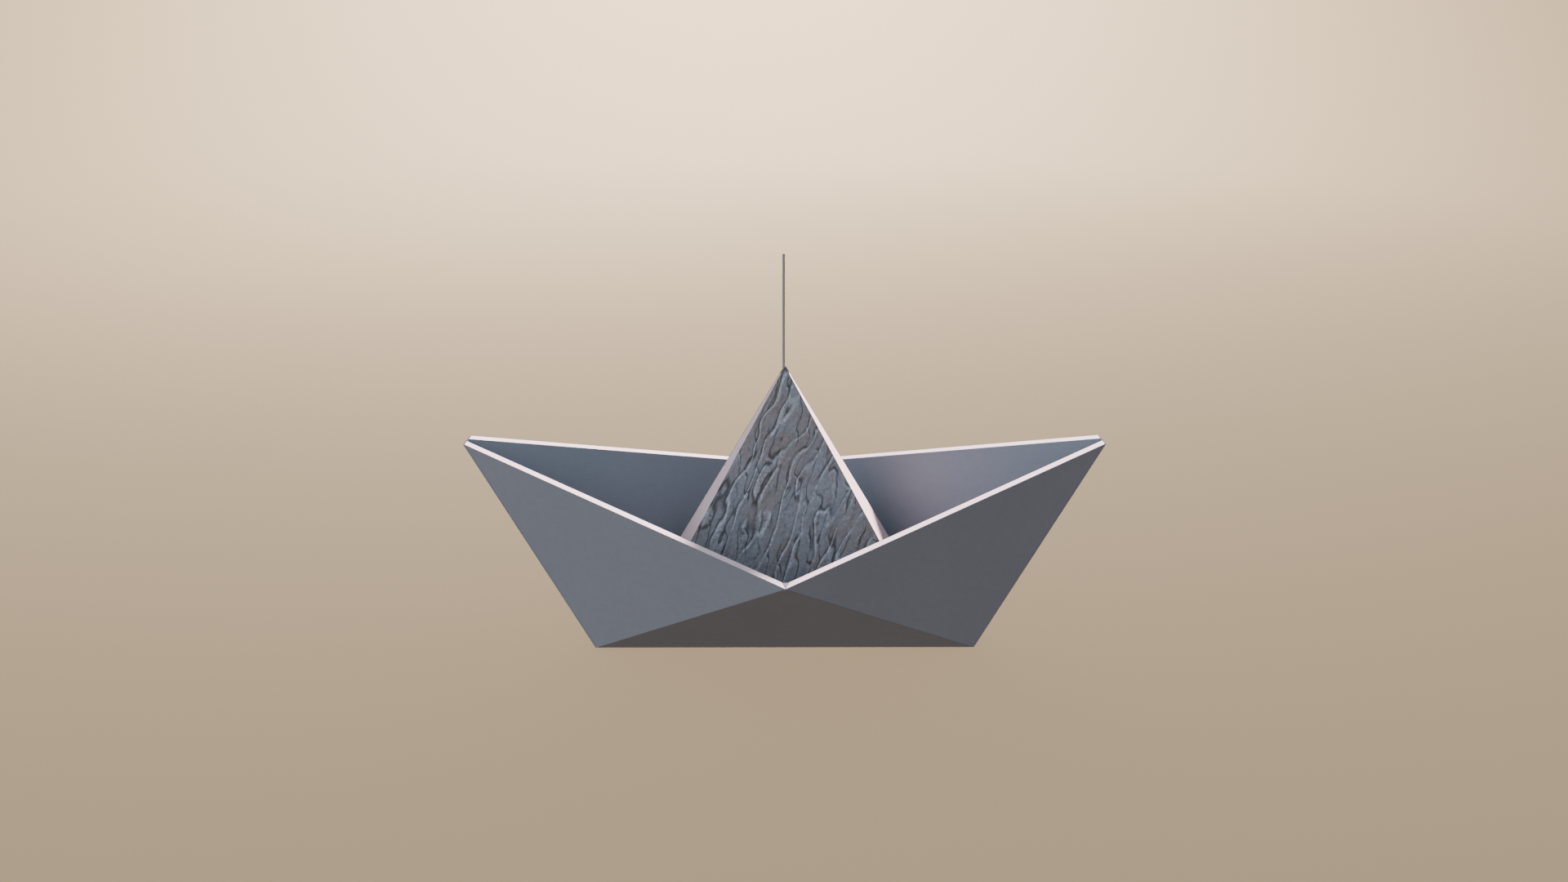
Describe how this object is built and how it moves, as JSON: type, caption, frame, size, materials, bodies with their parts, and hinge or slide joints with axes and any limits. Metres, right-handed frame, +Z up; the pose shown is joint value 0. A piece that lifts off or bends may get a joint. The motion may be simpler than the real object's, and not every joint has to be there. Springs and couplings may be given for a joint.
{
  "type": "folded paper boat",
  "caption": "Folded board boat with a blunt keel, raised pointed ends, a tent-shaped sail and a thin bare mast; the hull and the sail fold flat.",
  "frame": {"origin": "underside of the keel strip, at the middle of its length and width", "axes": "+X along the boat to the right, +Y to the rear half, +Z up the mast"},
  "size_m": [0.2032, 0.0998, 0.1332],
  "materials": {
    "board_core": "pale matt cut board",
    "outer_paper": "matt slate-blue paper",
    "inner_paper": "matt slate-blue paper",
    "sail_card": "crumpled slate-blue card",
    "gusset_paper": "pale matt paper",
    "mast_wire": "matt grey-brown",
    "step_wood": "bare light wood"
  },
  "bodies": {
    "keel": {"keel_strip_core": "board_core", "keel_strip_outer_paper": "outer_paper", "keel_strip_inner_paper": "inner_paper", "mast": "mast_wire", "mast_step": "step_wood", "left_sail_gusset": "gusset_paper", "right_sail_gusset": "gusset_paper"},
    "front_bottom": {"front_bottom_outer_paper": "outer_paper", "front_bottom_core": "board_core", "front_bottom_inner_paper": "inner_paper"},
    "front_left_side": {"front_left_side_outer_paper": "outer_paper", "front_left_side_core": "board_core", "front_left_side_inner_paper": "inner_paper", "left_stem_tape": "outer_paper"},
    "front_right_side": {"front_right_side_outer_paper": "outer_paper", "front_right_side_core": "board_core", "front_right_side_inner_paper": "inner_paper", "right_stem_tape": "outer_paper"},
    "front_sail": {"front_sail_sheet": "sail_card"},
    "rear_bottom": {"rear_bottom_outer_paper": "outer_paper", "rear_bottom_core": "board_core", "rear_bottom_inner_paper": "inner_paper"},
    "rear_left_side": {"rear_left_side_outer_paper": "outer_paper", "rear_left_side_core": "board_core", "rear_left_side_inner_paper": "inner_paper"},
    "rear_right_side": {"rear_right_side_outer_paper": "outer_paper", "rear_right_side_core": "board_core", "rear_right_side_inner_paper": "inner_paper"},
    "rear_sail": {"rear_sail_sheet": "sail_card"}
  },
  "joints": [
    {"name": "front_bottom_fold", "type": "hinge", "parent": "keel", "child": "front_bottom", "pos_m": [0, -0.0044, 0], "axis": [-1, 0, 0], "range_deg": [0, 44.19]},
    {"name": "front_left_side_fold", "type": "hinge", "parent": "front_bottom", "child": "front_left_side", "pos_m": [-0.064, -0.0044, 0], "axis": [0.7001, -0.4977, 0.512], "range_deg": [0, 41.1]},
    {"name": "front_right_side_fold", "type": "hinge", "parent": "front_bottom", "child": "front_right_side", "pos_m": [0.064, -0.0044, 0], "axis": [0.7001, 0.4977, -0.512], "range_deg": [0, 41.1]},
    {"name": "front_sail_fold", "type": "hinge", "parent": "keel", "child": "front_sail", "pos_m": [0, -0.00045, 0.0978], "axis": [1, 0, 0], "range_deg": [0, 11.31], "deforming": ["left_sail_gusset", "right_sail_gusset"]},
    {"name": "rear_bottom_fold", "type": "hinge", "parent": "keel", "child": "rear_bottom", "pos_m": [0, 0.0044, 0], "axis": [1, 0, 0], "range_deg": [0, 44.19]},
    {"name": "rear_left_side_fold", "type": "hinge", "parent": "rear_bottom", "child": "rear_left_side", "pos_m": [-0.064, 0.0044, 0], "axis": [-0.7001, -0.4977, -0.512], "range_deg": [0, 41.1]},
    {"name": "rear_right_side_fold", "type": "hinge", "parent": "rear_bottom", "child": "rear_right_side", "pos_m": [0.064, 0.0044, 0], "axis": [-0.7001, 0.4977, 0.512], "range_deg": [0, 41.1]},
    {"name": "rear_sail_fold", "type": "hinge", "parent": "keel", "child": "rear_sail", "pos_m": [0, 0.00045, 0.0978], "axis": [-1, 0, 0], "range_deg": [0, 11.31]}
  ],
  "couplings": [
    {"joint": "front_left_side_fold", "follows": "front_bottom_fold", "ratio": 0.92992},
    {"joint": "front_right_side_fold", "follows": "front_bottom_fold", "ratio": 0.92992},
    {"joint": "front_sail_fold", "follows": "front_bottom_fold", "ratio": 0.25574},
    {"joint": "rear_bottom_fold", "follows": "front_bottom_fold", "ratio": 1},
    {"joint": "rear_left_side_fold", "follows": "front_bottom_fold", "ratio": 0.92992},
    {"joint": "rear_right_side_fold", "follows": "front_bottom_fold", "ratio": 0.92992},
    {"joint": "rear_sail_fold", "follows": "front_bottom_fold", "ratio": 0.25574}
  ]
}
